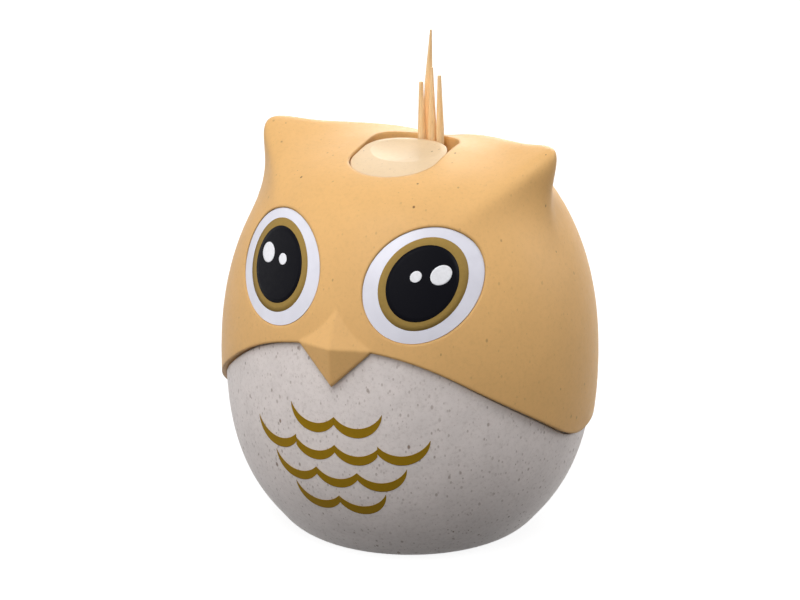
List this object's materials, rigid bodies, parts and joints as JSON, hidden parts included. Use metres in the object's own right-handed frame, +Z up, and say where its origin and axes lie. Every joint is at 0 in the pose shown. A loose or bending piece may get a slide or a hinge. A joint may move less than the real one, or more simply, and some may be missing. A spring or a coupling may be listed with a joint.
{
  "type": "toothpick dispenser",
  "caption": "Owl-shaped press dispenser for toothpicks: a lift-off head with ears, eyes and beak on a round bowl, with a spring-loaded press plate and lift that carry the toothpicks.",
  "frame": {"origin": "centre of the flat foot, on the surface that it stands on", "axes": "+Z up, -Y towards the face, +X to the owl's left, which is the viewer's right"},
  "size_m": [0.0916, 0.0928, 0.1192],
  "materials": {
    "head_plastic": "matte moulded wheat-straw plastic with fine brown flecks",
    "plate_plastic": "matte moulded plastic, paler than the head",
    "bowl_plastic": "matte moulded pale plastic with brown flecks",
    "inner_plastic": "plain moulded plastic",
    "eye_plastic": "smooth white disc with printed iris and pupil",
    "steel": "plain steel",
    "bamboo": "smooth bare bamboo"
  },
  "bodies": {
    "base": {"body_shell": "bowl_plastic", "magazine": "inner_plastic", "magazine_screws": "steel", "guide_post": "steel", "spring_washer": "steel", "return_spring": "steel", "stop_washer": "steel", "stop_screw": "steel", "stored_toothpicks": "bamboo"},
    "press": {"press_plate": "plate_plastic", "plate_pin": "steel", "lift_tube": "inner_plastic", "toothpick_left": "bamboo", "toothpick_tall": "bamboo", "toothpick_middle": "bamboo", "toothpick_right": "bamboo"},
    "head": {"head_shell": "head_plastic", "left_eye": "eye_plastic", "right_eye": "eye_plastic"}
  },
  "joints": [
    {"name": "press_slide", "type": "slide", "parent": "base", "child": "press", "axis": [0, 0, -1], "range_m": [0, 0.016], "stiffness_N_per_m": 120, "springref_m": -0.005, "deforming": ["return_spring"]},
    {"name": "head_lift", "type": "slide", "parent": "base", "child": "head", "axis": [0, 0, 1], "range_m": [0, 0.1]}
  ]
}
